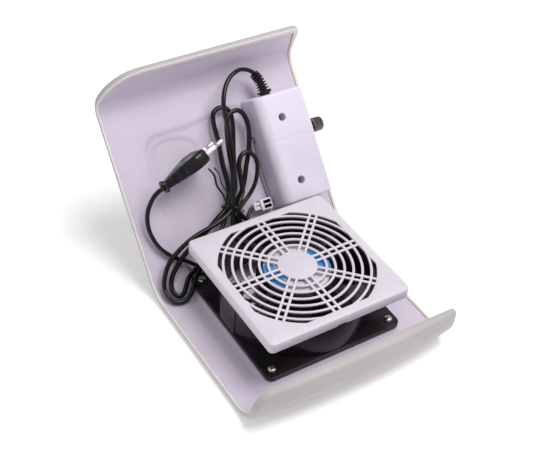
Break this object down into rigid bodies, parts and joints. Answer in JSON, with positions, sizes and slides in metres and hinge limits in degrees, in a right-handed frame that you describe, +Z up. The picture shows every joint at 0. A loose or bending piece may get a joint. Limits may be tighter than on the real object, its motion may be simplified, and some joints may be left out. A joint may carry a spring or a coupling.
{
  "type": "nail dust collector",
  "caption": "Desktop nail dust collector: bent leather-covered hand rest with a fan under a clip-on grille, a speed control box and a coiled mains cord, lying underside up.",
  "frame": {"origin": "middle of the base of the whole object's box, on the surface its outer leather face lies on", "axes": "+Z up, away from the outer face and along the fan's blowing direction; +Y from the front lip towards the sloping rear panel; +X towards the speed knob"},
  "size_m": [0.1802, 0.2568, 0.1542],
  "materials": {
    "leather": "matte white synthetic leather with a fine grain",
    "foam": "soft open-cell foam",
    "white_plastic": "satin moulded, faint lilac white",
    "black_plastic": "black moulded",
    "black_metal": "die-cast, semi-gloss black paint",
    "rubber": "black, slight sheen",
    "steel": "bright nickel plate",
    "laminations": "stacked steel sheets, dull",
    "copper": "enamelled copper winding",
    "label": "printed foil sticker, plain colour fields",
    "board": "resin-paper circuit board",
    "yellow_film": "yellow moulded box",
    "aluminium": "plain sheet",
    "grey_wire": "thin grey insulation",
    "fuse_glass": "clear tube"
  },
  "bodies": {
    "housing": {"shell_liner": "white_plastic", "leather_cover": "leather", "wrist_pad_foam": "foam", "intake_guard": "white_plastic", "fan_housing": "black_metal", "fan_screw_1": "steel", "fan_screw_2": "steel", "fan_screw_3": "steel", "fan_screw_4": "steel", "fan_label": "label", "stator_core": "laminations", "stator_winding": "copper", "bearing_lower": "steel", "bearing_upper": "steel", "control_box_cover": "white_plastic", "box_screw_1": "steel", "box_screw_2": "steel", "control_board": "board", "film_capacitor": "yellow_film", "heat_sink": "aluminium", "triac": "black_plastic", "choke": "copper", "fuse": "fuse_glass", "potentiometer": "aluminium", "mains_switch": "black_plastic", "pot_nut": "steel", "power_cord": "rubber", "strain_relief": "rubber", "twist_tie": "rubber", "plug_body": "rubber", "plug_pin_1": "steel", "plug_pin_2": "steel", "pin_sleeve_1": "white_plastic", "pin_sleeve_2": "white_plastic", "connector_socket": "white_plastic", "connector_plug": "white_plastic", "fan_feed_wire": "grey_wire", "fan_lead": "rubber"},
    "rotor": {"impeller": "black_plastic", "rotor_ring": "laminations", "rotor_shaft": "steel"},
    "knob": {"pot_shaft": "steel", "speed_knob": "black_plastic"},
    "grille": {"grille_cover": "white_plastic"}
  },
  "joints": [
    {"name": "rotor_spin", "type": "hinge", "parent": "housing", "child": "rotor", "pos_m": [-0.0011, -0.03454, 0.03], "axis": [0, 0, 1], "continuous": true},
    {"name": "knob_turn", "type": "hinge", "parent": "housing", "child": "knob", "pos_m": [0.085, 0.0754, 0.08091], "axis": [1, 0, 0], "range_deg": [0, 300]},
    {"name": "grille_lift", "type": "slide", "parent": "housing", "child": "grille", "axis": [0, 0, 1], "range_m": [0, 0.06]}
  ]
}
